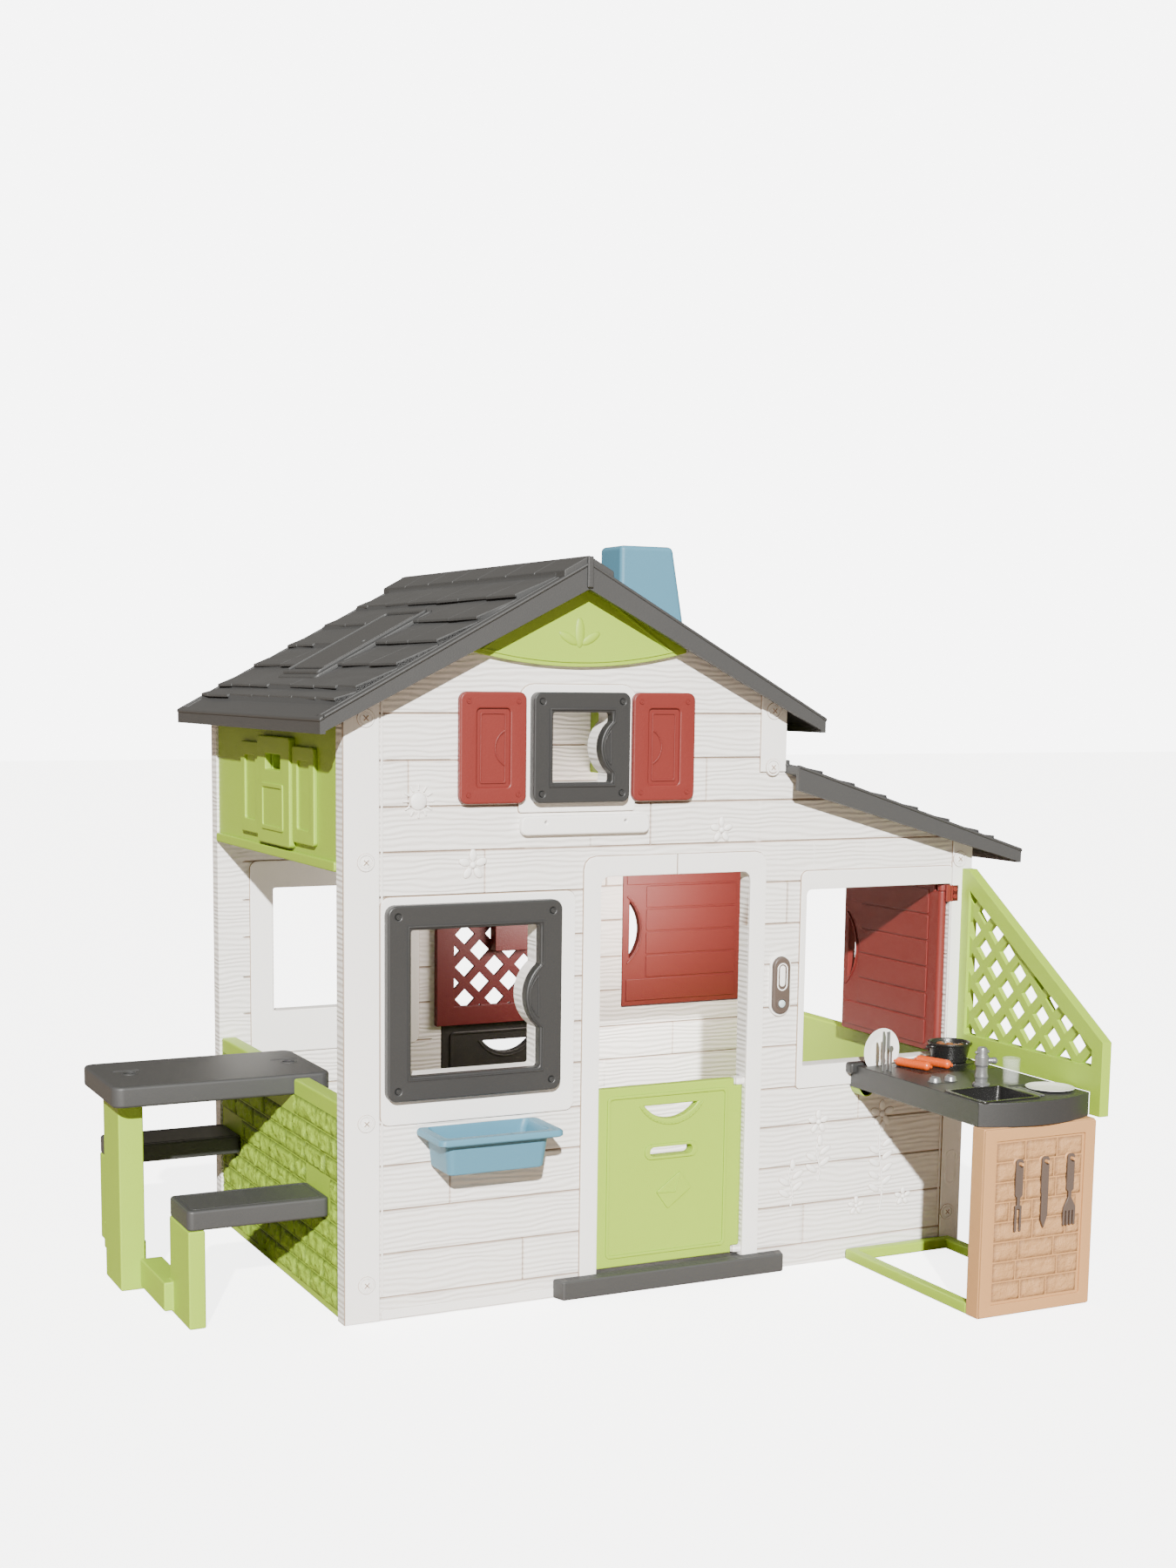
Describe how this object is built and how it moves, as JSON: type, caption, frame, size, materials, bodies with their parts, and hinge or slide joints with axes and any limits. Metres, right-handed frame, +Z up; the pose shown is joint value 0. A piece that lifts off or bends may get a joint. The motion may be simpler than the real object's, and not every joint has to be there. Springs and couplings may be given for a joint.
{
  "type": "plastic playhouse",
  "caption": "Two-storey-front plastic playhouse with half-doors, shutters, a picnic table with benches on one side and a toy kitchen counter with trellis on the other.",
  "frame": {"origin": "on the ground in the middle of the front doorway, at the front face of the front wall, on the underside of the front doorstep", "axes": "+X to the right seen from the front, along the length of the house; +Y from the front face to the rear face; +Z up"},
  "size_m": [2.157, 1.572, 1.735],
  "materials": {
    "wall_white": "matt moulded polyethylene with a fine wood grain",
    "panel_green": "matt moulded polyethylene, pale green",
    "roof_grey": "matt moulded polyethylene, slate grey",
    "trim_charcoal": "matt moulded plastic, near black",
    "shutter_red": "matt moulded polyethylene, brick red",
    "trellis_red": "matt moulded plastic, dark red",
    "accent_blue": "matt moulded plastic, grey blue",
    "kitchen_beige": "matt moulded plastic, sand beige, brick relief",
    "bell_grey": "satin moulded plastic, warm grey",
    "silver_plastic": "silver coloured plastic, satin gloss",
    "food_orange": "glossy orange plastic",
    "plate_white": "glossy white plastic",
    "clear_plastic": "clear glossy plastic"
  },
  "bodies": {
    "house": {"front_wall_left": "wall_white", "front_wall_right": "wall_white", "rear_wall_left": "wall_white", "rear_wall_right": "wall_white", "front_gable_board": "panel_green", "rear_gable_board": "panel_green", "roof_left": "roof_grey", "roof_right": "roof_grey", "lean_to_roof": "roof_grey", "chimney": "accent_blue", "left_upper_panel": "panel_green", "left_brick_panel": "panel_green", "right_upper_panel": "panel_green", "right_brick_panel": "panel_green", "window_frame": "roof_grey", "gable_window_frame": "roof_grey", "gable_shutter_left": "shutter_red", "gable_shutter_right": "shutter_red", "front_doorstep": "roof_grey", "rear_doorstep": "roof_grey", "door_hinge_pins": "wall_white", "shutter_hinge_pins": "shutter_red", "shutter_hinge_clips": "shutter_red", "planter": "accent_blue", "bell_body": "bell_grey", "bell_sound_unit": "trim_charcoal", "front_wall_screws": "wall_white", "rear_wall_screws": "wall_white", "frame_screws": "roof_grey", "rear_trellis": "trellis_red", "trellis_box": "trellis_red", "table_top": "roof_grey", "table_plugs": "roof_grey", "table_leg": "panel_green", "front_bench_support": "panel_green", "rear_bench_support": "panel_green", "front_bench": "roof_grey", "rear_bench": "roof_grey", "worktop": "roof_grey", "worktop_bracket": "panel_green", "lattice_panel": "panel_green", "kitchen_leg_panel": "kitchen_beige", "kitchen_floor_frame": "panel_green", "sausages": "food_orange", "plates": "plate_white", "cutlery": "silver_plastic", "drinking_glass": "clear_plastic"},
    "front_door": {"front_door": "panel_green"},
    "rear_door": {"rear_door": "trim_charcoal"},
    "front_shutter": {"front_shutter": "shutter_red"},
    "rear_shutter": {"rear_shutter": "shutter_red"},
    "bell_button": {"bell_button": "accent_blue"},
    "tap": {"tap": "silver_plastic"},
    "hob_knob_left": {"hob_knob_left": "silver_plastic"},
    "hob_knob_right": {"hob_knob_right": "silver_plastic"},
    "cooking_pot": {"cooking_pot": "trim_charcoal"},
    "hanging_fork": {"hanging_fork": "bell_grey"},
    "hanging_knife": {"hanging_knife": "bell_grey"},
    "hanging_server": {"hanging_server": "bell_grey"}
  },
  "joints": [
    {"name": "front_door_hinge", "type": "hinge", "parent": "house", "child": "front_door", "pos_m": [0.183, 0.013, 0.263], "axis": [0, 0, 1], "range_deg": [-90, 90]},
    {"name": "rear_door_hinge", "type": "hinge", "parent": "house", "child": "rear_door", "pos_m": [0.183, 0.939, 0.263], "axis": [0, 0, 1], "range_deg": [-90, 90]},
    {"name": "front_shutter_hinge", "type": "hinge", "parent": "house", "child": "front_shutter", "pos_m": [0.756, 0.013, 0.704], "axis": [0, 0, 1], "range_deg": [0, 90]},
    {"name": "rear_shutter_hinge", "type": "hinge", "parent": "house", "child": "rear_shutter", "pos_m": [0.756, 0.939, 0.704], "axis": [0, 0, 1], "range_deg": [-90, 0]},
    {"name": "bell_button_press", "type": "slide", "parent": "house", "child": "bell_button", "axis": [0, 1, 0], "range_m": [0, 0.003], "stiffness_N_per_m": 300, "springref_m": -0.002},
    {"name": "tap_swivel", "type": "hinge", "parent": "house", "child": "tap", "pos_m": [0.613, -0.35, 0.487], "axis": [0, 0, 1], "range_deg": [-90, 90]},
    {"name": "left_knob_turn", "type": "hinge", "parent": "house", "child": "hob_knob_left", "pos_m": [0.543, -0.27, 0.487], "axis": [0, 0, 1], "range_deg": [-135, 135]},
    {"name": "right_knob_turn", "type": "hinge", "parent": "house", "child": "hob_knob_right", "pos_m": [0.587, -0.27, 0.487], "axis": [0, 0, 1], "range_deg": [-135, 135]},
    {"name": "pot_lift", "type": "slide", "parent": "house", "child": "cooking_pot", "axis": [0, 0, 1], "range_m": [0, 0.15]},
    {"name": "fork_swing", "type": "hinge", "parent": "house", "child": "hanging_fork", "pos_m": [0.585, -0.532, 0.348], "axis": [0, 1, 0], "range_deg": [-15, 15]},
    {"name": "knife_swing", "type": "hinge", "parent": "house", "child": "hanging_knife", "pos_m": [0.657, -0.532, 0.348], "axis": [0, 1, 0], "range_deg": [-15, 15]},
    {"name": "server_swing", "type": "hinge", "parent": "house", "child": "hanging_server", "pos_m": [0.729, -0.532, 0.348], "axis": [0, 1, 0], "range_deg": [-15, 15]}
  ]
}
